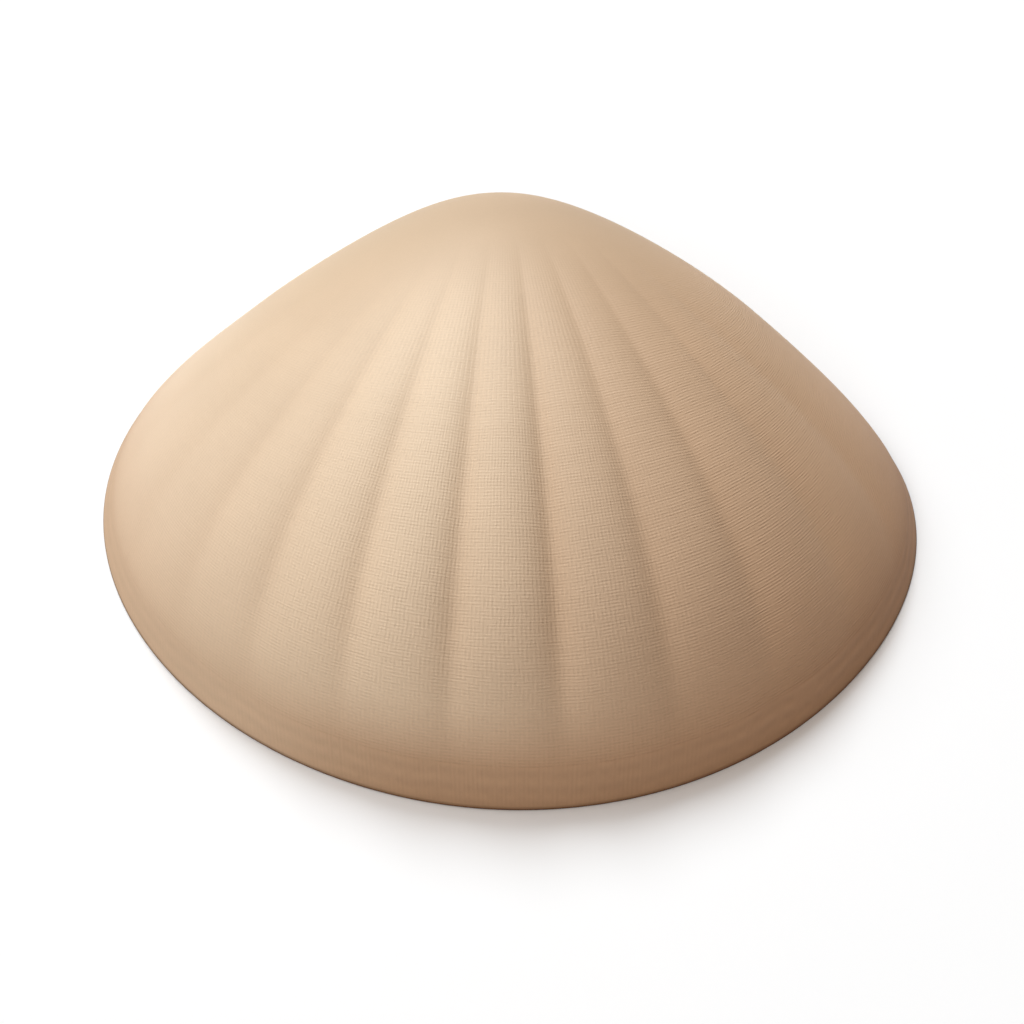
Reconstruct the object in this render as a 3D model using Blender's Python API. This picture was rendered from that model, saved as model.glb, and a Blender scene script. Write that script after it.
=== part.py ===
"""One valve of a clam shell, lying hollow side down on its margin.

The valve is a stack of growth rings. Each ring is the margin's outline, made smaller, and laid between two
lines in the shell's middle plane. The back line runs from the beak down to the hinge, and the crown line runs
from the beak over the top and down to the open edge. The cavity inside is a second stack of such rings.
+X is the shell's length, the hinge is at the +Y side, and the margin rests on Z = 0.
"""

from math import comb

import bmesh
import bpy
import numpy as np

# Driving dimensions, in millimetres. The outline and the lines below are drawn for a valve of DRAWN_LENGTH.
VALVE_LENGTH = 80.0
DRAWN_LENGTH = 80.0
MM = 0.001 * VALVE_LENGTH / DRAWN_LENGTH

# Margin: how far it reaches from its centre at twelve equal angles, from the open edge round by the +X end.
MARGIN_CENTRE = 31.4
MARGIN_REACH = (35.2, 37.1, 40.2, 42.7, 31.9, 30.2, 32.1, 29.9, 36.2, 40.3, 37.7, 35.3)
MARGIN_HEIGHT = 67.0

# A young shell is round: its rings start as circles and have the margin's shape by this growth stage.
YOUNG_REACH = 33.0
SHAPED_BY = 0.6

# Handles of the outside's two lines, as distance in front of the hinge and height above the margin.
BEAK = (0.2, 3.2)
CROWN_LINE = (BEAK, (-2.5, 14.7), (9.0, 23.8), (36.4, 25.7), (60.2, 18.8), (MARGIN_HEIGHT, 0.0))
BACK_LINE = (BEAK, (0.5, 2.0), (0.4, 0.8), (0.0, 0.0))
RING_WIDTH = (0.0, 0.232, 0.401, 0.602, 0.895, 1.0)

# Lip and hinge plate: the flat band that the valve rests on, and the shelf inside the hinge.
LIP_WIDTH = 1.1
PLATE_EDGE = 1.6
WALL_AT_MARGIN = 2.0
PLATE_REACH = 6.0
PLATE_HEIGHT = 2.2
THROAT_HEIGHT = 0.5
PLATE_HALF_ANGLE = 75.0

# Handles of the cavity's two lines, which leave a wall about 2.4 mm thick.
CAVITY_APEX = (2.3, 5.2)
CAVITY_CROWN = (CAVITY_APEX, (1.0, 17.4), (30.2, 25.3), (57.1, 17.0))
CAVITY_BACK = (CAVITY_APEX, (2.2, 4.1), (4.6, 3.4))
CAVITY_WIDTH = (0.0, 0.171, 0.453, 0.642, 0.863, 1.0)

# Grooves between the ribs: place on the margin in degrees, and depth.
GROOVES = (
    (-82.2, 0.12),
    (-67.7, 0.18),
    (-53.9, 0.30),
    (-40.0, 0.45),
    (-24.4, 0.62),
    (-7.7, 0.85),
    (9.1, 1.00),
    (25.6, 0.72),
    (41.0, 0.65),
    (56.4, 0.60),
    (70.2, 0.45),
)
GROOVE_HALF_WIDTH = 4.0

# Growth stages at which the grooves begin and end, and how the ribs fan out from the beak, where they are
# close together and turned a little towards +X.
RIB_START = (0.36, 0.78)
RIB_END = (0.80, 0.99)
RIB_CENTRE = 1.1
RIB_GATHER = (0.1, 0.4, 1.38, 1.0)
YOUNG_TURN = 4.0

# Teeth on the hinge plate: place on the margin in degrees from the hinge, distance inside the margin, length,
# width, and turn in degrees from the margin's own direction.
TEETH = {
    "middle_tooth": (0.0, 3.8, 3.4, 1.1, 90.0),
    "front_tooth": (-6.5, 3.8, 3.6, 1.0, 60.0),
    "rear_tooth": (6.5, 3.8, 3.6, 1.0, -60.0),
    "front_side_tooth": (-27.0, 3.0, 7.0, 1.0, 0.0),
    "rear_side_tooth": (27.0, 3.0, 8.0, 1.0, 0.0),
}
TOOTH_TIP = 0.7
TOOTH_ROOT = 3.4
TOOTH_TAPER = 0.55

# Mesh: rings outside and inside, columns between two grooves and round the hinge side, and the angle in
# degrees above which an edge stays sharp.
OUTER_RINGS = 26
CAVITY_RINGS = 12
COLUMNS_PER_RIB = 4
HINGE_SIDE_COLUMNS = 48
SHARP_EDGE = 35.0

SHELL_COLOUR = (0.70, 0.50, 0.33, 1.0)
SHELL_ROUGHNESS = 0.55


def clear_scene():
    """Remove every object that the scene starts with."""
    for obj in list(bpy.data.objects):
        bpy.data.objects.remove(obj, do_unlink=True)


def curve(handles, t):
    """Bezier curve through its first and last handle, at t from 0 to 1."""
    order = len(handles) - 1
    t = np.asarray(t, dtype=float)
    return sum(comb(order, i) * (1 - t) ** (order - i) * t**i * h for i, h in enumerate(handles))


def line(handles, t):
    """Distance in front of the hinge and height of a line in the middle plane, at t from 0 to 1."""
    return curve([h[0] for h in handles], t), curve([h[1] for h in handles], t)


def smooth_step(low, high, value):
    """Rise from 0 at low to 1 at high, level at both ends."""
    t = np.clip((value - low) / (high - low), 0.0, 1.0)
    return t * t * (3 - 2 * t)


def reach(angle, growth):
    """Reach of a ring from its centre: a closed cubic blend of the twelve reaches, rounder in young rings."""
    place = np.mod(angle, 2 * np.pi) / (2 * np.pi) * len(MARGIN_REACH)
    first = np.floor(place).astype(int)
    t = place - first
    weights = (
        (1 - t) ** 3 / 6,
        (3 * t**3 - 6 * t**2 + 4) / 6,
        (-3 * t**3 + 3 * t**2 + 3 * t + 1) / 6,
        t**3 / 6,
    )
    reaches = np.array(MARGIN_REACH)
    full = sum(w * reaches[(first - 1 + i) % len(reaches)] for i, w in enumerate(weights))
    return YOUNG_REACH + (full - YOUNG_REACH) * smooth_step(0.0, SHAPED_BY, growth)


def margin(angle, inset=0.0, growth=1.0):
    """Point of the margin in front of the hinge, moved inwards by inset, or with a younger ring's shape."""
    distance = reach(angle, growth) - inset
    return distance * np.sin(angle), MARGIN_CENTRE + distance * np.cos(angle)


def gathered(angle, growth):
    """Angle of a rib at a growth stage: the ribs start close together at the beak and fan out."""
    centre = np.radians(RIB_CENTRE)
    turn = np.mod(angle - centre + np.pi, 2 * np.pi) - np.pi
    share = curve(RIB_GATHER, growth)
    young_turn = np.radians(YOUNG_TURN) * (1 - growth) ** 2
    return centre + young_turn + turn * (share + (1 - share) * np.abs(turn / np.pi) ** 4)


def smooth_outside(angle, growth):
    """Point of the outside without its ribs: a ring of the margin's shape between the two lines."""
    x, front = margin(gathered(angle, growth), growth=growth)
    share = front / MARGIN_HEIGHT
    back_y, back_z = line(BACK_LINE, growth)
    crown_y, crown_z = line(CROWN_LINE, growth)
    width = curve(RING_WIDTH, growth)
    return np.stack(
        [width * x, -(back_y + (crown_y - back_y) * share), back_z + (crown_z - back_z) * share], axis=-1
    )


def groove_depth(angle, growth):
    """Depth below the smooth outside: each groove is a bell across, and it is gone at beak and margin."""
    places, depths = np.array(GROOVES).T
    turn = np.degrees(angle)[..., None] - places
    across = (depths * np.exp(-((turn / GROOVE_HALF_WIDTH) ** 2))).sum(axis=-1)
    return across * smooth_step(*RIB_START, growth) * (1 - smooth_step(*RIB_END, growth))


def outside(angle, growth):
    """Point of the ribbed outside: the smooth point sunk along its normal by the groove's depth."""
    step = 0.002
    across = smooth_outside(angle + step, growth) - smooth_outside(angle - step, growth)
    along = smooth_outside(angle, growth + step) - smooth_outside(angle, growth - step)
    normal = np.cross(across, along)
    normal /= np.linalg.norm(normal, axis=-1, keepdims=True)
    inwards = -normal * np.sign(normal[..., 2:3])
    return smooth_outside(angle, growth) + inwards * groove_depth(angle, growth)[..., None]


def plate_share(angle):
    """How much of the hinge plate there is: 1 at the hinge, falling to 0 towards both ends."""
    from_hinge = 180.0 - np.degrees(np.abs(angle))
    return smooth_step(0.0, 1.0, 1.0 - from_hinge / PLATE_HALF_ANGLE)


def margin_loop(angle, inset, height):
    """Closed loop of points that follows the margin, moved inwards and up."""
    x, front = margin(angle, inset)
    return np.stack([x, -front, height + 0.0 * x], axis=-1)


def cavity_inset(angle):
    """How far the cavity's rim lies inside the margin: the wall's thickness, or the hinge plate's reach."""
    return WALL_AT_MARGIN + (PLATE_REACH - WALL_AT_MARGIN) * plate_share(angle)


def rim_height(angle):
    """Height of the cavity's rim: a little above the lip, and at the hinge plate level with the plate."""
    return THROAT_HEIGHT + (PLATE_HEIGHT - THROAT_HEIGHT) * plate_share(angle)


def cavity(angle, growth):
    """Point of the cavity: a ring of its rim's shape between the cavity's two lines."""
    x, front = margin(angle, cavity_inset(angle))
    start = margin(np.array(np.pi), PLATE_REACH)[1]
    end = margin(np.array(0.0), WALL_AT_MARGIN)[1]
    share = (front - start) / (end - start)
    back_y, back_z = line((*CAVITY_BACK, (start, PLATE_HEIGHT)), growth)
    crown_y, crown_z = line((*CAVITY_CROWN, (end, THROAT_HEIGHT)), growth)
    width = curve(CAVITY_WIDTH, growth)
    slant = PLATE_HEIGHT + (THROAT_HEIGHT - PLATE_HEIGHT) * share
    height = back_z + (crown_z - back_z) * share + (rim_height(angle) - slant) * growth**6
    return np.stack([width * x, -(back_y + (crown_y - back_y) * share), height], axis=-1)


def column_angles():
    """Angles of the mesh columns: along each groove and rib, and evenly round the hinge side."""
    places = [place for place, _ in GROOVES]
    pairs = zip(places[:-1], places[1:], strict=True)
    ribs = [np.linspace(first, second, COLUMNS_PER_RIB, endpoint=False) for first, second in pairs]
    rest = np.linspace(places[-1], places[0] + 360.0, HINGE_SIDE_COLUMNS, endpoint=False)
    angles = np.radians(np.concatenate([*ribs, rest]))
    return np.mod(angles + np.pi, 2 * np.pi) - np.pi


def add_loop(bm, points, centre):
    """Add a loop of vertices, in metres, moved so that the valve is centred."""
    return [bm.verts.new((point - centre) * MM) for point in points]


def join_loops(bm, first, second):
    """Fill between two loops of the same number of vertices with a band of faces."""
    for i, vert in enumerate(first):
        following = (i + 1) % len(first)
        bm.faces.new((vert, first[following], second[following], second[i]))


def close_loop(bm, loop, point):
    """Fill a loop with a fan of faces that meet at one point."""
    for i, vert in enumerate(loop):
        bm.faces.new((vert, loop[(i + 1) % len(loop)], point))


def valve_loops():
    """Loops of the whole skin in order: down the outside, over the lip and plate, and up the cavity."""
    angles = column_angles()
    loops = [outside(angles, np.full_like(angles, u)) for u in np.arange(1, OUTER_RINGS + 1) / OUTER_RINGS]
    loops.append(margin_loop(angles, LIP_WIDTH, 0.0))
    loops.append(margin_loop(angles, PLATE_EDGE, rim_height(angles) - 0.5 * THROAT_HEIGHT))
    steps = np.arange(CAVITY_RINGS, 0, -1) / CAVITY_RINGS
    loops.extend(cavity(angles, np.full_like(angles, v)) for v in steps)
    return loops


def valve_centre(loops):
    """Middle of the valve's length and width at the margin's level."""
    points = np.concatenate(loops)
    middle = (points.min(axis=0) + points.max(axis=0)) / 2
    return np.array([middle[0], middle[1], 0.0])


def shell_material():
    """Chalky tan shell, a little glossy."""
    material = bpy.data.materials.new("shell")
    material.use_nodes = True
    surface = material.node_tree.nodes["Principled BSDF"]
    surface.inputs["Base Color"].default_value = SHELL_COLOUR
    surface.inputs["Roughness"].default_value = SHELL_ROUGHNESS
    surface.inputs["Metallic"].default_value = 0.0
    return material


def add_object(name, bm):
    """Put a finished bmesh into the scene as one named object."""
    bmesh.ops.recalc_face_normals(bm, faces=bm.faces)
    mesh = bpy.data.meshes.new(name)
    bm.to_mesh(mesh)
    bm.free()
    obj = bpy.data.objects.new(name, mesh)
    bpy.context.scene.collection.objects.link(obj)
    return obj


def build_valve(loops, centre):
    """The valve's skin as one closed mesh."""
    bm = bmesh.new()
    rings = [add_loop(bm, points, centre) for points in loops]
    for first, second in zip(rings[:-1], rings[1:], strict=True):
        join_loops(bm, first, second)
    beak = (0.0, -BEAK[0], BEAK[1])
    apex = (0.0, -CAVITY_APEX[0], CAVITY_APEX[1])
    for ring, point in ((rings[0], beak), (rings[-1], apex)):
        close_loop(bm, ring, add_loop(bm, np.array([point]), centre)[0])
    valve = add_object("valve", bm)
    valve.data.shade_smooth()
    valve.data.set_sharp_from_angle(angle=np.radians(SHARP_EDGE))
    valve.data.materials.append(shell_material())
    return valve


def build_tooth(name, centre, place, inset, length, width, turn):
    """A hinge tooth: a ridge rooted in the hinge plate, narrower at its tip."""
    angle = np.radians(180.0 - place)
    x, front = margin(angle, inset)
    ahead_x, ahead_front = margin(angle - np.radians(1.0), inset)
    heading = np.arctan2(front - ahead_front, ahead_x - x) + np.radians(turn)
    cosine, sine = np.cos(heading), np.sin(heading)
    bm = bmesh.new()
    bmesh.ops.create_cube(bm, size=1.0)
    for vert in bm.verts:
        at_tip = vert.co.z < 0
        narrowing = TOOTH_TAPER if at_tip else 1.0
        along = vert.co.x * (length - width * (1 - narrowing))
        across = vert.co.y * width * narrowing
        height = TOOTH_TIP if at_tip else TOOTH_ROOT
        point = (x + along * cosine - across * sine, -front + along * sine + across * cosine, height)
        vert.co = (np.array(point) - centre) * MM
    tooth = add_object(name, bm)
    tooth.hide_render = True
    tooth.display_type = "WIRE"
    return tooth


def main():
    clear_scene()
    loops = valve_loops()
    centre = valve_centre(loops)
    valve = build_valve(loops, centre)
    for name, sizes in TEETH.items():
        union = valve.modifiers.new(name, "BOOLEAN")
        union.operation = "UNION"
        union.solver = "EXACT"
        union.object = build_tooth(name, centre, *sizes)


main()
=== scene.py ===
"""Looks of one clam shell valve, lying hollow side down on a white studio floor.

The valve is one piece of grown shell. Its skin is one closed surface worked out from the same named sizes as
its solid: growth rings of the margin's shape, laid between two lines in the middle plane. All sizes are in
millimetres until a mesh is made, and the frame is +X along the shell, +Y towards the hinge, +Z up. A growth
stage runs from 0 at the beak to 1 at the margin, and an angle from the middle of the open edge towards +X.
"""

import logging
from collections.abc import Mapping
from dataclasses import dataclass, field
from enum import IntEnum
from math import comb

import bpy
import numpy as np
from mathutils import Matrix, Vector


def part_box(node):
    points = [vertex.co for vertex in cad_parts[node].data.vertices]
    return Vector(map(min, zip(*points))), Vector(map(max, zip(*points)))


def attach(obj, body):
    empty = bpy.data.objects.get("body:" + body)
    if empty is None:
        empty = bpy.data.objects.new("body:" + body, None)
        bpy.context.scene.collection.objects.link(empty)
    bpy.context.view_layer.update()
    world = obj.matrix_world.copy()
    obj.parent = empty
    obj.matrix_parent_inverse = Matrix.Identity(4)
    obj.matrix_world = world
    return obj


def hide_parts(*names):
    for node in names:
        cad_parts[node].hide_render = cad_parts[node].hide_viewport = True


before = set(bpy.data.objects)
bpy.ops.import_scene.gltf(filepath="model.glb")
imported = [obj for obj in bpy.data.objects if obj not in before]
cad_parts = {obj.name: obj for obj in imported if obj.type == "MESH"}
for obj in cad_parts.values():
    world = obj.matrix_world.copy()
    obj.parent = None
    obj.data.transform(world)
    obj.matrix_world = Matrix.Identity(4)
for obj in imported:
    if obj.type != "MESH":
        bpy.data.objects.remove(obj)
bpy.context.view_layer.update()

Array = np.ndarray
Span = tuple[float, float]
Colour = tuple[float, float, float, float]
Tree = bpy.types.NodeTree
Socket = bpy.types.NodeSocket

LOG = logging.getLogger("clam_shell")
METRES = 0.001
FULL_TURN = 2 * np.pi
SLOPE_STEP = 0.002
TRAVEL_STEPS = 400

# Settings of the nodes that the finishes use.
ADD = {"operation": "ADD"}
MULTIPLY = {"operation": "MULTIPLY"}
MULTIPLY_ADD = {"operation": "MULTIPLY_ADD"}
SINE = {"operation": "SINE"}
SCALE = {"operation": "SCALE"}
SMOOTH = {"interpolation_type": "SMOOTHSTEP"}
COLOURS = {"data_type": "RGBA"}
VALUES = {"data_type": "FLOAT"}
# Sockets of a Mix node, whose names repeat.
SHARE, FIRST_VALUE, SECOND_VALUE, FIRST_COLOUR, SECOND_COLOUR = 0, 2, 3, 6, 7
MIXED_COLOUR = 2


class Side(IntEnum):
    """The two faces of the shell, in the order of the valve's material slots."""

    OUTSIDE = 0
    INSIDE = 1


def linear(hex_colour: str) -> Colour:
    """Turn an sRGB hex colour into a linear one.

    Args:
        hex_colour: Six hex digits after a hash sign.

    Returns:
        Red, green, blue and an alpha of 1.
    """
    parts = [int(hex_colour[i : i + 2], 16) / 255 for i in (1, 3, 5)]
    red, green, blue = (c / 12.92 if c <= 0.04045 else ((c + 0.055) / 1.055) ** 2.4 for c in parts)
    return red, green, blue, 1.0


def smooth_step(low: float, high: float, value: Array) -> Array:
    """Rise from 0 at low to 1 at high, level at both ends: three t squared minus two t cubed.

    Args:
        low: Value at which the rise starts.
        high: Value at which it ends.
        value: Where to read it.

    Returns:
        The share from 0 to 1.
    """
    t = np.clip((value - low) / (high - low), 0.0, 1.0)
    return t * t * (3 - 2 * t)


def bell(middle: Array | float, half_width: float, value: Array) -> Array:
    """Rise to 1 at the middle and fall off on both sides: e to minus the squared distance in half widths."""
    return np.exp(-(((value - middle) / half_width) ** 2))


def curve(handles: tuple[float, ...], t: Array) -> Array:
    """Bezier curve: the handles weighted by the binomial terms of t and one minus t.

    Args:
        handles: Handle values, the first and last of which the curve meets.
        t: Places along the curve from 0 to 1.

    Returns:
        The curve's value at each place.
    """
    order = len(handles) - 1
    t = np.asarray(t, dtype=float)
    return sum(comb(order, i) * (1 - t) ** (order - i) * t**i * h for i, h in enumerate(handles))


def line(handles: tuple[Span, ...], t: Array) -> tuple[Array, Array]:
    """Bezier curve of points in the middle plane.

    Args:
        handles: Handles as distance in front of the hinge and height.
        t: Places along the curve from 0 to 1.

    Returns:
        Distance in front of the hinge, and height.
    """
    return curve(tuple(h[0] for h in handles), t), curve(tuple(h[1] for h in handles), t)


@dataclass(frozen=True)
class Groove:
    """A groove between two ribs: its place on the margin in degrees, and its depth."""

    place: float
    depth: float


@dataclass(frozen=True)
class Tooth:
    """A hinge tooth: its place in degrees from the hinge, distance inside the margin, sizes and turn.

    Its ends slope over a span of shares of its length, and its sides over a span of shares of its width.
    """

    place: float
    inset: float
    length: float
    width: float
    turn: float
    end_slope: Span = (0.35, 0.5)
    side_slope: Span = (0.2, 0.6)

    def ridge(self, along: Array, across: Array) -> Array:
        """Height of the ridge, 1 on its top and 0 beside it, from how far along and across it a point is."""
        ends = 1 - smooth_step(*(share * self.length for share in self.end_slope), np.abs(along))
        return ends * (1 - smooth_step(*(share * self.width for share in self.side_slope), np.abs(across)))


@dataclass(frozen=True)
class Scar:
    """A muscle scar in the cavity: its place in degrees, its growth stage, and half its size in each."""

    place: float
    stage: float
    half_angle: float
    half_stage: float
    fade: Span = (0.8, 1.0)

    def share(self, turn: Array, growth: Array) -> Array:
        """An oval, 1 inside it and 0 outside, at an angle in degrees and a growth stage."""
        off = np.hypot((turn - self.place) / self.half_angle, (growth - self.stage) / self.half_stage)
        return 1 - smooth_step(*self.fade, off)


@dataclass(frozen=True)
class PallialLine:
    """The narrow line where the soft body held on: a stage of growth, with a bay at the rear end."""

    stage: float = 0.86
    half_width: float = 0.012
    strength: float = 0.6
    bay_depth: float = 0.2
    bay_place: float = 74.0
    bay_half_angle: float = 15.0
    ends: Span = (96.0, 102.0)

    def share(self, turn: Array, growth: Array) -> Array:
        """The line's strength at an angle in degrees and a growth stage, and 0 past its two ends."""
        stage = self.stage - self.bay_depth * bell(self.bay_place, self.bay_half_angle, turn)
        return self.strength * bell(stage, self.half_width, growth) * (1 - smooth_step(*self.ends, abs(turn)))


@dataclass(frozen=True)
class ShellForm:
    """Form of the valve, in millimetres as drawn, with the formulas of its outside and its cavity."""

    margin_centre: float = 31.4
    margin_reach: tuple[float, ...] = (35.2, 37.1, 40.2, 42.7, 31.9, 30.2, 32.1, 29.9, 36.2, 40.3, 37.7, 35.3)
    margin_height: float = 67.0
    young_reach: float = 33.0
    shaped_by: float = 0.6
    beak: Span = (0.2, 3.2)
    crown_line: tuple[Span, ...] = (
        (0.2, 3.2),
        (-2.5, 14.7),
        (9.0, 23.8),
        (36.4, 25.7),
        (60.2, 18.8),
        (67.0, 0.0),
    )
    back_line: tuple[Span, ...] = ((0.2, 3.2), (0.5, 2.0), (0.4, 0.8), (0.0, 0.0))
    ring_width: tuple[float, ...] = (0.0, 0.232, 0.401, 0.602, 0.895, 1.0)
    lip_width: float = 1.1
    plate_edge: float = 1.6
    wall_at_margin: float = 2.0
    plate_reach: float = 6.0
    plate_height: float = 2.2
    throat_height: float = 0.5
    plate_half_angle: float = 75.0
    cavity_apex: Span = (2.3, 5.2)
    cavity_crown: tuple[Span, ...] = ((2.3, 5.2), (1.0, 17.4), (30.2, 25.3), (57.1, 17.0))
    cavity_back: tuple[Span, ...] = ((2.3, 5.2), (2.2, 4.1), (4.6, 3.4))
    cavity_width: tuple[float, ...] = (0.0, 0.171, 0.453, 0.642, 0.863, 1.0)
    rim_power: int = 6
    rib_centre: float = 1.1
    rib_gather: tuple[float, ...] = (0.1, 0.4, 1.38, 1.0)
    gather_power: int = 4
    young_turn: float = 4.0

    def margin(
        self, angle: Array, inset: Array | float = 0.0, growth: Array | float = 1.0
    ) -> tuple[Array, Array]:
        """Margin outline: a closed cubic blend of twelve reaches from its centre, less the inset.

        Young rings are rounder: their reach goes from a circle's to the margin's as they grow.

        Args:
            angle: Angle round the margin.
            inset: How far inside the margin.
            growth: Growth stage.

        Returns:
            Place along the shell, and distance in front of the hinge.
        """
        reaches = np.array(self.margin_reach)
        place = np.mod(angle, FULL_TURN) / FULL_TURN * len(reaches)
        first = np.floor(place).astype(int)
        t = place - first
        weights = (
            (1 - t) ** 3 / 6,
            (3 * t**3 - 6 * t**2 + 4) / 6,
            (-3 * t**3 + 3 * t**2 + 3 * t + 1) / 6,
            t**3 / 6,
        )
        full = sum(w * reaches[(first - 1 + i) % len(reaches)] for i, w in enumerate(weights))
        shaped = smooth_step(0.0, self.shaped_by, growth)
        reach = self.young_reach + (full - self.young_reach) * shaped - inset
        return reach * np.sin(angle), self.margin_centre + reach * np.cos(angle)

    def gathered(self, angle: Array, growth: Array) -> Array:
        """Angle of a rib on a young ring: close together at the beak, a little towards +X, and fanning out.

        Args:
            angle: Angle at which the rib meets the margin.
            growth: Growth stage.

        Returns:
            Angle on the ring of that stage.
        """
        centre = np.radians(self.rib_centre)
        turn = np.mod(angle - centre + np.pi, FULL_TURN) - np.pi
        share = curve(self.rib_gather, growth)
        young_turn = np.radians(self.young_turn) * (1 - growth) ** 2
        return centre + young_turn + turn * (share + (1 - share) * np.abs(turn / np.pi) ** self.gather_power)

    def smooth_outside(self, angle: Array, growth: Array) -> Array:
        """Outside without relief: a ring of the margin's shape between the back line and the crown line.

        Args:
            angle: Angle of the column at the margin.
            growth: Growth stage.

        Returns:
            Points, with x, y and z last.
        """
        x, front = self.margin(self.gathered(angle, growth), growth=growth)
        share = front / self.margin_height
        back_y, back_z = line(self.back_line, growth)
        crown_y, crown_z = line(self.crown_line, growth)
        width = curve(self.ring_width, growth)
        front = back_y + (crown_y - back_y) * share
        return np.stack([width * x, -front, back_z + (crown_z - back_z) * share], axis=-1)

    def outside_normal(self, angle: Array, growth: Array) -> Array:
        """Outward unit normal of the smooth outside: the cross product of its two slopes.

        Args:
            angle: Angle of the column at the margin.
            growth: Growth stage.

        Returns:
            Normals, with x, y and z last.
        """
        after, before = (self.smooth_outside(angle + step, growth) for step in (SLOPE_STEP, -SLOPE_STEP))
        above, below = (self.smooth_outside(angle, growth + step) for step in (SLOPE_STEP, -SLOPE_STEP))
        normal = np.cross(above - below, after - before)
        return normal / np.linalg.norm(normal, axis=-1, keepdims=True)

    def plate_share(self, angle: Array) -> Array:
        """How much of the hinge plate there is: 1 at the hinge, falling to 0 towards both ends."""
        from_hinge = 180.0 - np.degrees(np.abs(np.mod(angle + np.pi, FULL_TURN) - np.pi))
        return smooth_step(0.0, 1.0, 1.0 - from_hinge / self.plate_half_angle)

    def rim_inset(self, angle: Array) -> Array:
        """How far the cavity's rim lies inside the margin: the wall, or the hinge plate's reach."""
        return self.wall_at_margin + (self.plate_reach - self.wall_at_margin) * self.plate_share(angle)

    def rim_height(self, angle: Array) -> Array:
        """Height of the cavity's rim: a little above the lip, and level with the plate at the hinge."""
        return self.throat_height + (self.plate_height - self.throat_height) * self.plate_share(angle)

    def cavity(self, angle: Array, growth: Array) -> Array:
        """Cavity: a ring of its rim's shape between the cavity's two lines, eased on to the rim's height.

        Args:
            angle: Angle of the column at the margin.
            growth: 0 at the cavity's apex and 1 at its rim.

        Returns:
            Points, with x, y and z last.
        """
        x, front = self.margin(angle, self.rim_inset(angle))
        start = self.margin(np.array(np.pi), self.plate_reach)[1]
        end = self.margin(np.array(0.0), self.wall_at_margin)[1]
        share = (front - start) / (end - start)
        back_y, back_z = line((*self.cavity_back, (start, self.plate_height)), growth)
        crown_y, crown_z = line((*self.cavity_crown, (end, self.throat_height)), growth)
        width = curve(self.cavity_width, growth)
        slant = self.plate_height + (self.throat_height - self.plate_height) * share
        eased = (self.rim_height(angle) - slant) * growth**self.rim_power
        height = back_z + (crown_z - back_z) * share + eased
        return np.stack([width * x, -(back_y + (crown_y - back_y) * share), height], axis=-1)


@dataclass(frozen=True)
class Relief:
    """Low relief of the outside: grooves between the ribs, and faint growth rings."""

    grooves: tuple[Groove, ...] = (
        Groove(-82.2, 0.12),
        Groove(-67.7, 0.18),
        Groove(-53.9, 0.30),
        Groove(-40.0, 0.50),
        Groove(-24.4, 0.68),
        Groove(-7.7, 0.95),
        Groove(9.1, 1.20),
        Groove(25.6, 0.82),
        Groove(41.0, 0.76),
        Groove(56.4, 0.72),
        Groove(70.2, 0.55),
    )
    groove_half_width: float = 3.6
    groove_floor: float = 1.1
    groove_start: Span = (0.36, 0.78)
    groove_end: Span = (0.8, 0.99)
    ring_depth: float = 0.012
    ring_spacing: float = 2.3
    ring_unevenness: float = 1.7
    unevenness_length: float = 5.3
    ring_start: Span = (0.3, 0.6)
    ring_end: Span = (0.85, 0.95)
    last_fade: Span = (0.97, 1.0)

    def groove_depth(self, angle: Array, growth: Array) -> Array:
        """Depth of the grooves: it falls off from each groove's narrow floor up to the ribs.

        The fall is an exponential of the distance from the groove's middle.

        Args:
            angle: Angle of the column at the margin.
            growth: Growth stage.

        Returns:
            Depth in millimetres.
        """
        places = np.array([groove.place for groove in self.grooves])
        depths = np.array([groove.depth for groove in self.grooves])
        turn = np.degrees(angle)[..., None] - places
        distance = np.sqrt(turn**2 + self.groove_floor**2) - self.groove_floor
        across = (depths * np.exp(-distance / self.groove_half_width)).sum(axis=-1)
        return across * smooth_step(*self.groove_start, growth) * (1 - smooth_step(*self.groove_end, growth))

    def depth(self, angle: Array, growth: Array, travel: Array) -> Array:
        """Depth below the smooth outside: the grooves, and a shallow uneven wave for the growth rings.

        Both fade out at the margin, whose outline stays smooth.

        Args:
            angle: Angle of the column at the margin.
            growth: Growth stage.
            travel: Distance from the beak along the crown line.

        Returns:
            Depth in millimetres.
        """
        uneven = self.ring_unevenness * np.sin(travel / self.unevenness_length)
        wave = np.sin(FULL_TURN * travel / self.ring_spacing + uneven)
        shown = smooth_step(*self.ring_start, growth) * (1 - smooth_step(*self.ring_end, growth))
        both = self.groove_depth(angle, growth) + self.ring_depth * wave * shown
        return both * (1 - smooth_step(*self.last_fade, growth))


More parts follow.
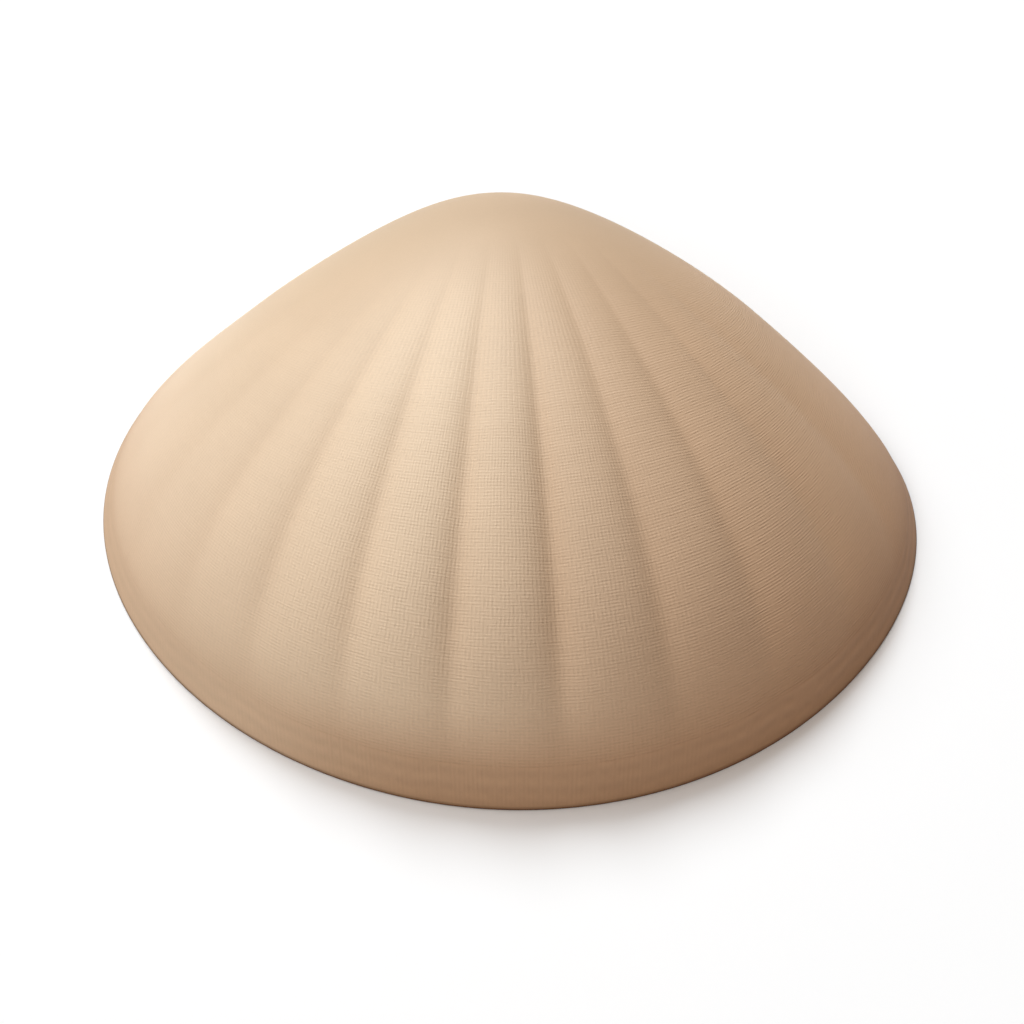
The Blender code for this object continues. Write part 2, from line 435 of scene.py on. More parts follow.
@dataclass(frozen=True)
class SkinPattern:
    """Where light is painted on the outside, and how strong its two sets of threads are, by angle and growth
    stage.
    """

    painted_light_place: float = -22.0
    painted_light_half_angle: float = 38.0
    painted_light_start: Span = (0.3, 0.6)
    painted_light_end: Span = (0.88, 0.965)
    painted_light_end_turn: Span = (-75.0, -10.0)
    thread_start: Span = (0.34, 0.6)
    thread_end: Span = (0.95, 1.0)
    thread_gap: Span = (0.3, 0.7)
    late: Span = (0.8, 0.92)
    towards_front: Span = (-60.0, -15.0)
    towards_rear: Span = (22.0, 40.0)
    fan_strength: Span = (0.5, 0.5)
    fan_loss: Span = (0.7, 0.4)
    ring_strength: tuple[float, float, float, float] = (0.25, 0.5, 0.35, 0.35)

    def painted_light(self, turn: Array, growth: Array) -> Array:
        """Painted light: a broad paler sector on the -X half, where the lamps stand, less so at the margin's
        middle.

        Args:
            turn: Angle of the column at the margin, in degrees.
            growth: Growth stage.

        Returns:
            The share from 0 to 1.
        """
        sector = bell(self.painted_light_place, self.painted_light_half_angle, turn) * smooth_step(*self.painted_light_start, growth)
        return sector * (1 - smooth_step(*self.painted_light_end, growth) * smooth_step(*self.painted_light_end_turn, turn))

    def threads(self, turn: Array, growth: Array, gaps: Array) -> tuple[Array, Array]:
        """Strength of the threads.

        Both sets are weaker near the beak, at the margin, on the -X half, and where the rings lie close
        together at the hinge side. Towards the +X end the fanning set gives way to the one along the rings.

        Args:
            turn: Angle of the column at the margin, in degrees.
            growth: Growth stage.
            gaps: Distance between two rings, as a share of that on the crown line.

        Returns:
            The strength of the fanning threads, and of those along the rings.
        """
        shown = smooth_step(*self.thread_start, growth) * (1 - smooth_step(*self.thread_end, growth))
        shown = shown * smooth_step(*self.thread_gap, gaps)
        late = smooth_step(*self.late, growth)
        front, rear = smooth_step(*self.towards_front, turn), smooth_step(*self.towards_rear, turn)
        fan = self.fan_strength[0] + self.fan_strength[1] * front
        fan = fan * (1 - self.fan_loss[0] * rear) * (1 - self.fan_loss[1] * late)
        all_round, more_front, more_rear, more_late = self.ring_strength
        rings = all_round + more_front * front + more_rear * rear + more_late * late
        return shown * fan, shown * rings


@dataclass(frozen=True)
class PhotoCamera:
    """Camera at the photograph's view: its place in front of the hinge's middle, in millimetres."""

    elevation: float = 54.8
    roll: float = -0.39
    lens: float = 100.0
    sensor: float = 36.0
    aside: float = 1.15
    lift: float = -27.27
    away: float = -299.8
    clip: Span = (0.01, 10.0)

    def build(self, hinge: Vector) -> None:
        """Make the camera, looking down along +Y at its elevation.

        Args:
            hinge: The hinge's middle in the frame, in metres.
        """
        angle = np.radians(self.elevation)
        forward = Vector((0.0, np.cos(angle), -np.sin(angle)))
        right = Vector((1.0, 0.0, 0.0))
        up = right.cross(forward)
        place = hinge + METRES * (right * self.aside + up * self.lift + forward * self.away)
        data = bpy.data.cameras.new("photo_camera")
        data.lens = self.lens
        data.sensor_width = self.sensor
        data.clip_start, data.clip_end = self.clip
        camera = bpy.data.objects.new("photo_camera", data)
        turn = Matrix((right, up, -forward)).transposed() @ Matrix.Rotation(np.radians(self.roll), 3, "Z")
        camera.matrix_world = Matrix.Translation(place) @ turn.to_4x4()
        bpy.context.scene.collection.objects.link(camera)
        bpy.context.scene.camera = camera


def add_node(
    tree: Tree,
    kind: str,
    settings: Mapping[str, object],
    inputs: Mapping[int | str, object],
    output: int | str = 0,
) -> Socket:
    """Add a node with its settings, socket values and links.

    Args:
        tree: The node tree of a material or of the world.
        kind: Name of the node's type, without the ShaderNode in front of it.
        settings: Attribute values of the node.
        inputs: Socket name or number to a plain value, or to the output that is linked to it.
        output: Name or number of the output to give back.

    Returns:
        That output of the new node.
    """
    node = tree.nodes.new(f"ShaderNode{kind}")
    for name, value in settings.items():
        setattr(node, name, value)
    for name, value in inputs.items():
        if isinstance(value, Socket):
            tree.links.new(value, node.inputs[name])
        else:
            node.inputs[name].default_value = value
    return node.outputs[output]


def shaded(tree: Tree, colour: Socket, level: Socket, amount: float) -> Socket:
    """Lighten or darken a colour: it is multiplied by one plus an amount times the level.

    Args:
        tree: The material's node tree.
        colour: The colour to change.
        level: Value from minus one to one.
        amount: How much of the colour the level adds or takes.

    Returns:
        The changed colour.
    """
    factor = add_node(tree, "Math", MULTIPLY_ADD, {0: level, 1: amount, 2: 1.0})
    return add_node(tree, "VectorMath", SCALE, {0: colour, "Scale": factor})


@dataclass(frozen=True)
class Patches:
    """A layer of uneven tone: the size of its patches in millimetres, its detail and its share."""

    size: float
    detail: float
    share: float


def mottle(tree: Tree, layers: tuple[Patches, ...]) -> Socket:
    """Uneven tone: twice each layer's noise times its share, less the sum of the shares.

    Args:
        tree: The material's node tree.
        layers: The layers of patches.

    Returns:
        Value from about minus one to one.
    """
    place = add_node(tree, "TexCoord", {}, {}, "Object")
    level = -sum(layer.share for layer in layers)
    for layer in layers:
        inputs = {"Vector": place, "Scale": 1 / (layer.size * METRES), "Detail": layer.detail}
        noise = add_node(tree, "TexNoise", {}, inputs, "Fac")
        level = add_node(tree, "Math", MULTIPLY_ADD, {0: noise, 1: 2 * layer.share, 2: level})
    return level


def blank_material(
    name: str, roughness: float, specular: float
) -> tuple[bpy.types.Material, Tree, bpy.types.Node]:
    """Make a material with only its shader.

    Args:
        name: The material's name.
        roughness: Roughness all over.
        specular: Specular level all over.

    Returns:
        The material, its node tree and its Principled BSDF.
    """
    material = bpy.data.materials.new(name)
    material.use_nodes = True
    shader = material.node_tree.nodes["Principled BSDF"]
    shader.inputs["Roughness"].default_value = roughness
    shader.inputs["Specular IOR Level"].default_value = specular
    return material, material.node_tree, shader


@dataclass(frozen=True)
class ChalkyShellFinish:
    """Outside: weathered aragonite shell, chalky and finely cancellate, so it is matt with a faint sheen.

    Two sets of threads cross on it, one fanning out with the ribs and one along the growth rings, each about
    a third of a millimetre apart and broken into short strokes, which reads as linen. The tone is uneven in
    soft patches of about 9 mm. The chalk's own grain is too fine to show in the render, so it is drawn as
    coarse as two of its pixels. Its colour also holds painted light and shade: paler on the -X half and
    towards the -X end, darker and browner towards the +X end, in the grooves and at the margin, with a dark
    painted shade on the margin's edge and painted light and shade on the threads. Spacings and heights are
    in millimetres, strokes and wavers in threads.
    """

    # Tones by growth stage. The fall to dark brown at the margin is partly the shell's own darker margin
    # band, partly painted shade of the steep margin.
    tones: tuple[tuple[float, str], ...] = (
        (0.0, "#C4A688"),
        (0.3, "#C5A98B"),
        (0.5, "#CDAF90"),
        (0.7, "#D2B496"),
        (0.85, "#D3B395"),
        (0.94, "#C8A484"),
        (1.0, "#A27750"),
    )
    # Colour of the painted light on the -X half.
    painted_light: str = "#E9D1B4"
    # Painted light and shade along X: the -X end paler and less brown, the +X end darker and browner, as from
    # lamps on the -X side.
    painted_light_tint: Colour = (1.07, 1.17, 1.24, 1.0)
    painted_shade_tint: Colour = (0.91, 0.81, 0.73, 1.0)
    # Dark brown painted shade on the margin's rounded edge and the lip under it.
    edge: str = "#552F0D"
    # Painted shade in the grooves: a browner colour laid on in a share of the groove depth.
    groove_shade: str = "#BE9A78"
    groove_shade_share: float = 0.35
    roughness: float = 0.6
    specular: float = 0.3
    uneven: tuple[Patches, ...] = (Patches(9.09, 2.0, 1.0), Patches(0.1923, 1.0, 0.6))
    uneven_shade: float = 0.05
    fan_spacing: float = 0.38
    ring_spacing: float = 0.32
    thread_height: float = 0.012
    # Painted light on the threads' crests and painted shade in their gaps, as a share of the colour.
    thread_light_and_shade: float = 0.05
    stroke_length: float = 2.6
    stroke_width: float = 1.25
    stroke_fade: Span = (0.28, 0.68)
    waver: float = 1.1
    waver_length: float = 14.2857
    new_threads: Span = (0.52, 0.68)

    def build(self) -> bpy.types.Material:
        """Make the material from the valve's attributes, its thread map and its own coordinates.

        Returns:
            The material.
        """
        material, tree, shader = blank_material("chalky_shell", self.roughness, self.specular)
        growth, edge, relief, painted_light, rear = (
            add_node(tree, "Attribute", {"attribute_name": name}, {}, "Fac")
            for name in ("growth", "edge", "relief", "painted_light", "rear")
        )
        thread = self.threads(tree, growth)
        # Painted light towards the -X end and painted shade towards the +X end.
        tints = {SHARE: rear, FIRST_COLOUR: self.painted_light_tint, SECOND_COLOUR: self.painted_shade_tint}
        tint = add_node(tree, "Mix", COLOURS, tints, MIXED_COLOUR)
        colour = add_node(tree, "VectorMath", MULTIPLY, {0: self.grown_tone_and_shade(tree, growth), 1: tint})
        # Share of the painted shade in the grooves, from the groove depth.
        groove_shaded = add_node(tree, "Math", MULTIPLY, {0: relief, 1: self.groove_shade_share})
        # Lay on the painted light of the -X half, then the painted shade of the grooves.
        for share, tone in ((painted_light, self.painted_light), (groove_shaded, self.groove_shade)):
            layer = {SHARE: share, FIRST_COLOUR: colour, SECOND_COLOUR: linear(tone)}
            colour = add_node(tree, "Mix", COLOURS, layer, MIXED_COLOUR)
        colour = shaded(tree, colour, mottle(tree, self.uneven), self.uneven_shade)
        # Painted light on the thread crests and painted shade between them.
        colour = shaded(tree, colour, thread, self.thread_light_and_shade)
        # Lay on the painted shade of the margin's edge.
        layer = {SHARE: edge, FIRST_COLOUR: colour, SECOND_COLOUR: linear(self.edge)}
        tree.links.new(add_node(tree, "Mix", COLOURS, layer, MIXED_COLOUR), shader.inputs["Base Color"])
        height = {"Strength": 1.0, "Distance": self.thread_height * METRES, "Height": thread}
        tree.links.new(add_node(tree, "Bump", {}, height, "Normal"), shader.inputs["Normal"])
        return material

    def grown_tone_and_shade(self, tree: Tree, growth: Socket) -> Socket:
        """Colour that eases from tone to tone as the shell grows, darkest at the margin partly with painted
        shade.

        Args:
            tree: The material's node tree.
            growth: Growth stage.

        Returns:
            The colour.
        """
        colour = add_node(tree, "ValToRGB", {}, {0: growth})
        ramp = colour.node.color_ramp
        ramp.interpolation = "CARDINAL"
        for place, _ in self.tones[2:]:
            ramp.elements.new(place)
        for element, (place, tone) in zip(ramp.elements, self.tones, strict=True):
            element.position = place
            element.color = linear(tone)
        return colour

    def threads(self, tree: Tree, growth: Socket) -> Socket:
        """Height of the threads: the sum of the two sets, each broken into strokes.

        Each set is a sine of the thread map, whose coordinates count threads, slightly wavered by a noise.
        The fanning set has half as many threads in the young part of the shell, as new threads begin between
        the old ones.

        Args:
            tree: The material's node tree.
            growth: Growth stage.

        Returns:
            Value from about minus one to one.
        """
        count = add_node(tree, "UVMap", {"uv_map": "threads"}, {}, "UV")
        slow = add_node(tree, "VectorMath", SCALE, {0: count, "Scale": 1 / self.waver_length})
        noise = add_node(tree, "TexNoise", {}, {"Vector": slow, "Scale": 1.0, "Detail": 2.0}, "Fac")
        shift = add_node(tree, "Math", MULTIPLY, {0: noise, 1: self.waver})
        round_count, along_count = (
            add_node(tree, "Math", ADD, {0: add_node(tree, "SeparateXYZ", {}, {0: count}, axis), 1: shift})
            for axis in ("X", "Y")
        )
        low, high = self.new_threads
        grown = add_node(tree, "MapRange", SMOOTH, {0: growth, 1: low, 2: high})
        young, full = (self.wave(tree, round_count, turn) for turn in (FULL_TURN / 2, FULL_TURN))
        fan = add_node(tree, "Mix", VALUES, {SHARE: grown, FIRST_VALUE: young, SECOND_VALUE: full})
        rings = self.wave(tree, along_count, FULL_TURN)
        across, along = 1 / self.stroke_width, 1 / self.stroke_length
        fan_strokes = self.strokes(tree, count, (across, along, 1.0), "fan")
        ring_strokes = self.strokes(tree, count, (along, across, 1.0), "rings")
        fan = add_node(tree, "Math", MULTIPLY, {0: fan, 1: fan_strokes})
        rings = add_node(tree, "Math", MULTIPLY, {0: rings, 1: ring_strokes})
        return add_node(tree, "Math", ADD, {0: fan, 1: rings})

    def strokes(
        self, tree: Tree, count: Socket, stretch: tuple[float, float, float], strength: str
    ) -> Socket:
        """Strength of a set of threads: broken into strokes by a noise drawn out along the threads.

        Args:
            tree: The material's node tree.
            count: The thread map.
            stretch: How the noise is scaled along the map's two directions.
            strength: The attribute with the set's own strength.

        Returns:
            The strength from 0 to 1.
        """
        stretched = add_node(tree, "VectorMath", MULTIPLY, {0: count, 1: stretch})
        noise = add_node(tree, "TexNoise", {}, {"Vector": stretched, "Scale": 1.0, "Detail": 1.0}, "Fac")
        low, high = self.stroke_fade
        fade = add_node(tree, "MapRange", SMOOTH, {0: noise, 1: low, 2: high})
        own = add_node(tree, "Attribute", {"attribute_name": strength}, {}, "Fac")
        return add_node(tree, "Math", MULTIPLY, {0: fade, 1: own})

    @staticmethod
    def wave(tree: Tree, count: Socket, turn: float) -> Socket:
        """Sine of a thread count times a turn."""
        return add_node(tree, "Math", SINE, {0: add_node(tree, "Math", MULTIPLY, {0: count, 1: turn})})


@dataclass(frozen=True)
class PorcelainShellFinish:
    """Inside: dense lamellar shell, smooth like unglazed porcelain, so it is pale with a soft gloss.

    The band outside the pallial line is duller, and the muscle scars are a little darker and glossier. Soft
    patches of about 6 mm make the tone uneven.
    """

    cream: str = "#F1E4D0"
    peach: str = "#DDBB93"
    peach_end: Span = (0.05, 0.8)
    scar: str = "#C9A684"
    scar_share: float = 0.7
    # The same painted shade on the lip under the margin.
    edge: str = ChalkyShellFinish.edge
    uneven: tuple[Patches, ...] = (Patches(6.25, 3.0, 1.0),)
    uneven_shade: float = 0.05
    roughness: float = 0.34
    scar_roughness: float = 0.2
    dull_roughness: float = 0.5
    dull_start: Span = (0.84, 0.9)
    specular: float = 0.5

    def build(self) -> bpy.types.Material:
        """Make the material: peach under the crown, cream towards the margin, and the scars from attributes.

        Returns:
            The material.
        """
        material, tree, shader = blank_material("porcelain_shell", self.roughness, self.specular)
        growth, edge, scar = (
            add_node(tree, "Attribute", {"attribute_name": name}, {}, "Fac")
            for name in ("growth", "edge", "scar")
        )
        creamy, dull = (
            add_node(tree, "MapRange", SMOOTH, {0: growth, 1: low, 2: high})
            for low, high in (self.peach_end, self.dull_start)
        )
        marked = add_node(tree, "Math", MULTIPLY, {0: scar, 1: self.scar_share})
        tones = {SHARE: creamy, FIRST_COLOUR: linear(self.peach), SECOND_COLOUR: linear(self.cream)}
        colour = add_node(tree, "Mix", COLOURS, tones, MIXED_COLOUR)
        layer = {SHARE: marked, FIRST_COLOUR: colour, SECOND_COLOUR: linear(self.scar)}
        colour = add_node(tree, "Mix", COLOURS, layer, MIXED_COLOUR)
        colour = shaded(tree, colour, mottle(tree, self.uneven), self.uneven_shade)
        # Lay on the painted shade of the margin's edge.
        layer = {SHARE: edge, FIRST_COLOUR: colour, SECOND_COLOUR: linear(self.edge)}
        tree.links.new(add_node(tree, "Mix", COLOURS, layer, MIXED_COLOUR), shader.inputs["Base Color"])
        dulled = {SHARE: dull, FIRST_VALUE: self.roughness, SECOND_VALUE: self.dull_roughness}
        smooth = add_node(tree, "Mix", VALUES, dulled)
        glossed = {SHARE: scar, FIRST_VALUE: smooth, SECOND_VALUE: self.scar_roughness}
        tree.links.new(add_node(tree, "Mix", VALUES, glossed), shader.inputs["Roughness"])
        return material


@dataclass
class ClamValve:
    """The valve's fine skin: outside, rounded lip, hinge plate with teeth, and cavity, in one closed mesh."""

    form: ShellForm = field(default_factory=ShellForm)
    relief: Relief = field(default_factory=Relief)
    pattern: SkinPattern = field(default_factory=SkinPattern)
    outside_rows: int = 124
    edge_rows: int = 5
    plate_rows: int = 20
    cavity_rows: int = 40
    columns: tuple[tuple[float, float, int], ...] = (
        (-180.0, -145.0, 70),
        (-145.0, -95.0, 34),
        (-95.0, 85.0, 236),
        (85.0, 145.0, 40),
        (145.0, 180.0, 70),
    )
    edge_round: float = 0.28
    edge_close: float = 0.08
    # Rings over which the painted shade of the edge starts and ends.
    edge_shade_start: float = 0.6
    edge_shade_end: Span = (6.0, 9.0)
    teeth: tuple[Tooth, ...] = (
        Tooth(0.0, 3.8, 3.4, 1.1, 90.0),
        Tooth(-6.5, 3.8, 3.6, 1.0, 60.0),
        Tooth(6.5, 3.8, 3.6, 1.0, -60.0),
        Tooth(-27.0, 3.0, 7.0, 1.0, 0.0),
        Tooth(27.0, 3.0, 8.0, 1.0, 0.0),
    )
    tooth_tip: float = 0.7
    muscle_scars: tuple[Scar, ...] = (Scar(-104.0, 0.74, 11.0, 0.1), Scar(102.0, 0.72, 13.0, 0.11))
    pallial_line: PallialLine = field(default_factory=PallialLine)
    scar_depth: float = 0.12
    thread_radius: float = 32.0
    skin: bpy.types.Object | None = None
    hinge: Vector | None = None

    def angles(self) -> Array:
        """Angles of the columns: close together on the ribs and at the hinge, wider apart between."""
        spans = [np.linspace(start, stop, count, endpoint=False) for start, stop, count in self.columns]
        return np.radians(np.concatenate(spans))

    def travel(self, growth: Array) -> Array:
        """Distance along the crown line from the beak: the summed lengths of its short steps.

        Args:
            growth: Growth stage.

        Returns:
            Distance in millimetres.
        """
        stages = np.linspace(0.0, 1.0, TRAVEL_STEPS)
        path = np.stack(line(self.form.crown_line, stages), axis=-1)
        lengths = np.concatenate([[0.0], np.cumsum(np.linalg.norm(np.diff(path, axis=0), axis=1))])
        return np.interp(growth, stages, lengths)

    def outside_rings(self, angle: Array) -> tuple[Array, Array]:
        """Rings of the outside, sunk along its normal by its relief.

        Args:
            angle: Angles of the columns.

        Returns:
            Points and growth stage, each ring by column.
        """
        stages = np.linspace(0.0, 1.0, self.outside_rows + 1)[1:]
        ring_angle, growth = np.meshgrid(angle, stages)
        depth = self.relief.depth(ring_angle, growth, self.travel(growth))
        points = self.form.smooth_outside(ring_angle, growth)
        return points - self.form.outside_normal(ring_angle, growth) * depth[..., None], growth

    def rounded(self, outer: Array, angle: Array) -> Array:
        """Round the margin's outer edge: the last rings follow a quadratic curve round the corner.

        One ring lies just above the curve, which keeps the painted shade of the edge narrow.

        Args:
            outer: Rings of the outside, the last at the corner.
            angle: Angles of the columns.

        Returns:
            The rings, with the last few drawn in.
        """
        corner = outer[-1]
        before = outer[-1 - self.edge_rows]
        toward = before - corner
        start = corner + toward * (self.edge_round / np.linalg.norm(toward, axis=-1, keepdims=True))
        stop = self.level_ring(angle, self.edge_round, 0.0)
        t = np.linspace(0.0, 1.0, self.edge_rows + 1)[:-1, None, None]
        bend = (1 - t) ** 2 * start + 2 * t * (1 - t) * corner + t**2 * stop
        above = start + self.edge_close * (before - start)
        return np.concatenate([outer[: -1 - self.edge_rows], above[None], bend])

    def level_ring(self, angle: Array, inset: Array | float, height: Array | float) -> Array:
        """Ring that follows the margin, moved inwards and up."""
        x, front = self.form.margin(angle, inset)
        return np.stack([x, -front, height + 0.0 * x], axis=-1)

    def tooth_drop(self, points: Array) -> Array:
        """How far the teeth stand down from the plate: a ridge with sloping sides and ends for each tooth.

        Args:
            points: Points on the plate.

        Returns:
            Drop at each point, in millimetres.
        """
        drop = np.zeros(points.shape[:-1])
        full = self.form.plate_height - self.tooth_tip
        for tooth in self.teeth:
            angle = np.radians(180.0 - tooth.place)
            x, front = self.form.margin(np.array(angle), tooth.inset)
            ahead_x, ahead_front = self.form.margin(np.array(angle - np.radians(1.0)), tooth.inset)
            heading = np.arctan2(front - ahead_front, ahead_x - x) + np.radians(tooth.turn)
            aside_x, aside_y = points[..., 0] - x, points[..., 1] + front
            along = aside_x * np.cos(heading) + aside_y * np.sin(heading)
            across = aside_y * np.cos(heading) - aside_x * np.sin(heading)
            drop = np.maximum(drop, full * tooth.ridge(along, across))
        return drop

    def inside_rings(self, angle: Array) -> tuple[Array, Array]:
        """Rings from the outer edge over the lip and the hinge plate, and up the cavity.

        Args:
            angle: Angles of the columns.

        Returns:
            Points, and growth stage, which is 1 at the lip and falls to 0 at the cavity's apex.
        """
        form = self.form
        step = np.linspace(0.0, 1.0, self.edge_rows + 1)[1:, None, None]
        outer = self.level_ring(angle, self.edge_round, 0.0)
        lip = self.level_ring(angle, form.lip_width, 0.0)
        edge = self.level_ring(angle, form.plate_edge, form.rim_height(angle) - form.throat_height / 2)
        rim = form.cavity(angle, np.ones_like(angle))
        shelf = edge + (rim - edge) * np.linspace(0.0, 1.0, self.plate_rows + 2)[1:-1, None, None]
        shelf[..., 2] -= self.tooth_drop(shelf) * form.plate_share(angle)
        stages = np.linspace(1.0, 0.0, self.cavity_rows, endpoint=False)
        ring_angle, ring_growth = np.meshgrid(angle, stages)
        hollow = form.cavity(ring_angle, ring_growth)
        hollow[..., 2] += self.scar_depth * self.scar_share(ring_angle, ring_growth)
        lip_rings = (outer[None], outer + (lip - outer) * step, lip + (edge - lip) * step)
        points = np.concatenate([*lip_rings, shelf, hollow])
        growth = np.concatenate([np.ones(len(points) - len(stages)), stages])
        return points, np.broadcast_to(growth[:, None], points.shape[:2])

    def scar_share(self, angle: Array, growth: Array) -> Array:
        """Where the muscle scars and the pallial line are.

        Args:
            angle: Angle of the column at the margin.
            growth: Stage of the cavity, 1 at its rim.

        Returns:
            1 in the scars to 0 off them.
        """
        turn = np.degrees(np.mod(angle + np.pi, FULL_TURN) - np.pi)
        marks = (self.pallial_line, *self.muscle_scars)
        return np.maximum.reduce([mark.share(turn, growth) for mark in marks])

    def build(self, low: Vector, high: Vector) -> None:
        """Make the valve's mesh, as long as its solid's box and in its middle, with its map and attributes.

        Args:
            low: Lowest corner of the solid's box, in metres.
            high: Highest corner.
        """
        angle = self.angles()
        outer, outer_growth = self.outside_rings(angle)
        inner, inner_growth = self.inside_rings(angle)
        rings = np.concatenate([self.rounded(outer, angle), inner])
        growth = np.concatenate([outer_growth, inner_growth])
        beak = (0.0, -self.form.beak[0], self.form.beak[1])
        apex = (0.0, -self.form.cavity_apex[0], self.form.cavity_apex[1])
        points = np.concatenate([rings.reshape(-1, 3), [beak, apex]])
        middle = (points.min(axis=0) + points.max(axis=0)) / 2 * (1, 1, 0)
        scale = (high.x - low.x) / np.ptp(points[:, 0])
        centre = np.array([(low.x + high.x) / 2, (low.y + high.y) / 2, low.z])
        mesh = bpy.data.meshes.new("valve_skin")
        mesh.from_pydata((points - middle) * scale + centre, [], self.faces(*growth.shape))
        mesh.polygons.foreach_set("use_smooth", np.ones(len(mesh.polygons), dtype=bool))
        self.hinge = Vector(centre - middle * scale)
        self.add_attributes(mesh, rings, growth, angle)
        self.add_thread_map(mesh, growth, angle)
        self.skin = bpy.data.objects.new("valve_skin", mesh)
        bpy.context.scene.collection.objects.link(self.skin)

    @staticmethod
    def faces(rows: int, columns: int) -> list[tuple[int, ...]]:
        """Quads between neighbouring rings, and a fan of triangles at each pole.

        Args:
            rows: Number of rings.
            columns: Number of columns.

        Returns:
            Corner numbers of each face, in the order that turns it outwards.
        """
        ring, column = np.meshgrid(np.arange(rows - 1), np.arange(columns), indexing="ij")
        following = (column + 1) % columns
        upper, lower = ring * columns, (ring + 1) * columns
        quads = np.stack([upper + column, lower + column, lower + following, upper + following], axis=-1)
        fan = np.arange(columns)
        turned = (fan + 1) % columns
        last = (rows - 1) * columns
        top = np.stack([np.full(columns, rows * columns), fan, turned], axis=-1)
        bottom = np.stack([last + fan, np.full(columns, rows * columns + 1), last + turned], axis=-1)
        return quads.reshape(-1, 4).tolist() + top.tolist() + bottom.tolist()

    def add_attributes(self, mesh: bpy.types.Mesh, rings: Array, growth: Array, angle: Array) -> None:
        """Write the point attributes that the finishes read, and the side of each face.

        Args:
            mesh: The valve's mesh.
            rings: Points, ring by column.
            growth: Growth stage, ring by column.
            angle: Angles of the columns.
        """
        rows, columns = growth.shape
        outside = np.arange(rows)[:, None] < self.outside_rows
        ring_angle = np.broadcast_to(angle, growth.shape)
        turn = np.degrees(ring_angle)
        steps = np.linalg.norm(np.diff(rings, axis=0, prepend=rings[:1]), axis=-1)
        gaps = steps / (self.travel(np.array([1.0]))[0] / self.outside_rows)
        fan_threads, ring_threads = self.pattern.threads(turn, growth, gaps)
        values = {
            "growth": growth,
            # Painted shade on the margin's edge and the lip under it.
            "edge": self.edge_shade_share(growth.shape),
            # Groove depth on the outside, which lays painted shade in the grooves.
            "relief": self.relief.groove_depth(ring_angle, growth) * outside,
            # Painted light on the -X half.
            "painted_light": self.pattern.painted_light(turn, growth),
            # From 0 at the -X end to 1 at the +X end, for the painted light and shade of the tints.
            "rear": 0.5 + rings[..., 0] / np.ptp(rings[..., 0]),
            "scar": self.scar_share(ring_angle, growth) * ~outside,
            "fan": fan_threads * outside,
            "rings": ring_threads * outside,
        }
        for name, value in values.items():
            data = np.concatenate([value.ravel(), [0.0, 0.0]]).astype(np.float32)
            mesh.attributes.new(name, "FLOAT", "POINT").data.foreach_set("value", data)
        face_ring = np.repeat(np.arange(rows - 1), columns)
        sides = np.where(face_ring < self.outside_rows, Side.OUTSIDE, Side.INSIDE)
        sides = np.concatenate([sides, np.full(columns, Side.OUTSIDE), np.full(columns, Side.INSIDE)])
        mesh.polygons.foreach_set("material_index", sides.astype(np.int32))

    def edge_shade_share(self, shape: tuple[int, int]) -> Array:
        """Where the margin's edge gets painted shade: on the rounded rings, and fading out over the lip after
        them.

        Args:
            shape: Number of rings and of columns.

        Returns:
            The share from 0 to 1, ring by column.
        """
        ring = np.broadcast_to(np.arange(shape[0], dtype=float)[:, None], shape)
        past_edge = ring - (self.outside_rows - self.edge_rows)
        start = smooth_step(-self.edge_shade_start, self.edge_shade_start, past_edge)
        return start * (1 - smooth_step(*self.edge_shade_end, past_edge))

    def add_thread_map(self, mesh: bpy.types.Mesh, growth: Array, angle: Array) -> None:
        """Write the thread map: how many threads round the shell and along the crown line a point is.

        Faces across the back of the shell, where the count round it starts again, get a count that goes on.

        Args:
            mesh: The valve's mesh.
            growth: Growth stage, ring by column.
            angle: Angles of the columns.
        """
        finish = ChalkyShellFinish
        whole_round = 2 * round(FULL_TURN * self.thread_radius / finish.fan_spacing / 2)
        round_count = np.broadcast_to((angle + np.pi) / FULL_TURN * whole_round, growth.shape)
        along_count = self.travel(growth) / finish.ring_spacing
        counts = np.stack([round_count, along_count], axis=-1).reshape(-1, 2)
        counts = np.concatenate([counts, np.zeros((2, 2))])
        corners = np.zeros(len(mesh.loops), dtype=np.int32)
        mesh.loops.foreach_get("vertex_index", corners)
        uv = counts[corners]
        sizes = np.zeros(len(mesh.polygons), dtype=np.int32)
        mesh.polygons.foreach_get("loop_total", sizes)
        first = np.repeat(np.concatenate([[0], np.cumsum(sizes)[:-1]]), sizes)
        uv[:, 0] += whole_round * (uv[:, 0] < uv[first, 0] - whole_round / 2)
        mesh.uv_layers.new(name="threads").data.foreach_set("uv", uv.ravel().astype(np.float32))

    def dress(self) -> None:
        """Give the valve its two finishes, and tell the frame what it stands for."""
        self.skin.data.materials.append(ChalkyShellFinish().build())
        self.skin.data.materials.append(PorcelainShellFinish().build())
        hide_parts("valve")
        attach(self.skin, "root")


@dataclass(frozen=True)
class Lamp:
    """A round soft lamp: its place in degrees round and above the valve, its size, power and colour."""

    name: str
    heading: float
    elevation: float
    size: float
    power: float
    colour: tuple[float, float, float]

    def build(self, distance: float) -> None:
        """Hang the lamp at a distance from the valve, turned towards it.

        Args:
            distance: How far away, in metres.
        """
        heading, elevation = np.radians(self.heading), np.radians(self.elevation)
        level = np.cos(elevation)
        place = distance * Vector((np.sin(heading) * level, -np.cos(heading) * level, np.sin(elevation)))
        data = bpy.data.lights.new(self.name, "AREA")
        data.shape = "DISK"
        data.size = self.size
        data.energy = self.power
        data.color = self.colour
        lamp = bpy.data.objects.new(self.name, data)
        lamp.location = place
        lamp.rotation_euler = (-place).to_track_quat("-Z", "Y").to_euler()
        bpy.context.scene.collection.objects.link(lamp)


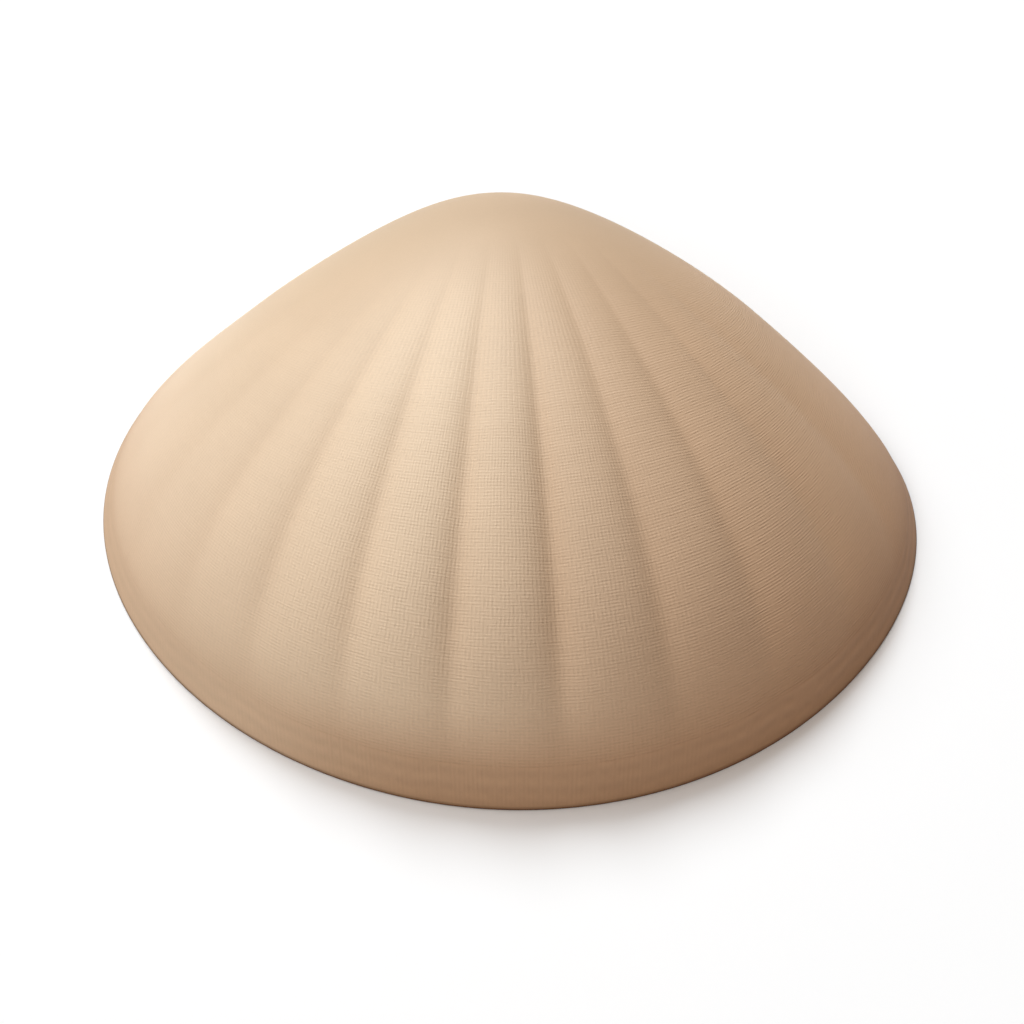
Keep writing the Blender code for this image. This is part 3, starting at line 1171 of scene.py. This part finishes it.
@dataclass(frozen=True)
class Studio:
    """White floor under cool soft lamps behind and warm ones in front, with a little light from all round."""

    floor_size: float = 3.2
    floor_colour: str = "#FBFBFB"
    floor_roughness: float = 0.9
    past_floor: str = "#FFFFFF"
    round_light: Colour = (1.0, 0.86, 0.76, 1.0)
    round_strength: float = 0.08
    distance: float = 3.0
    lamps: tuple[Lamp, ...] = (
        Lamp("back_lamp", -170.0, 42.0, 1.2, 71.9, (0.9, 0.955, 1.0)),
        Lamp("left_back_lamp", -125.0, 45.0, 1.6, 29.8, (0.9, 0.955, 1.0)),
        Lamp("left_lamp", -60.0, 30.0, 2.6, 8.2, (1.0, 0.9, 0.82)),
        Lamp("front_lamp", -30.0, 60.0, 2.6, 31.5, (1.0, 0.9, 0.82)),
    )

    def build(self) -> None:
        """Make the floor, the light from all round and the lamps."""
        self.add_floor()
        self.add_round_light()
        for lamp in self.lamps:
            lamp.build(self.distance)
        bpy.context.scene.view_settings.view_transform = "Standard"

    def add_floor(self) -> None:
        """Lay a square floor at the height that the valve rests on."""
        half = self.floor_size / 2
        corners = [(-half, -half, 0.0), (half, -half, 0.0), (half, half, 0.0), (-half, half, 0.0)]
        mesh = bpy.data.meshes.new("floor")
        mesh.from_pydata(corners, [], [(0, 1, 2, 3)])
        floor = bpy.data.objects.new("floor", mesh)
        bpy.context.scene.collection.objects.link(floor)
        material, _, shader = blank_material("white_floor", self.floor_roughness, 0.0)
        shader.inputs["Base Color"].default_value = linear(self.floor_colour)
        mesh.materials.append(material)

    def add_round_light(self) -> None:
        """Light the scene faintly from all round. Past the floor's edge shows a white that gives no light."""
        world = bpy.data.worlds.new("studio")
        world.use_nodes = True
        tree = world.node_tree
        faint, white = (
            add_node(tree, "Background", {}, {"Color": tone, "Strength": strength})
            for tone, strength in ((self.round_light, self.round_strength), (linear(self.past_floor), 1.0))
        )
        seen = add_node(tree, "LightPath", {}, {}, "Is Camera Ray")
        both = add_node(tree, "MixShader", {}, {0: seen, 1: faint, 2: white})
        tree.links.new(both, tree.nodes["World Output"].inputs["Surface"])
        tree.nodes.remove(tree.nodes["Background"])
        bpy.context.scene.world = world


def main() -> None:
    """Build the valve at its solid's size, the studio and the camera."""
    logging.basicConfig(level=logging.INFO, format="%(name)s: %(message)s")
    LOG.info("frame: %s", ", ".join(sorted(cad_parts)))
    valve = ClamValve()
    valve.build(*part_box("valve"))
    valve.dress()
    LOG.info("valve: %d faces", len(valve.skin.data.polygons))
    Studio().build()
    LOG.info("studio: %d lamps", len(Studio.lamps))
    PhotoCamera().build(valve.hinge)
    LOG.info("camera: %.1f degrees above the floor", PhotoCamera.elevation)


if __name__ == "__main__":
    main()
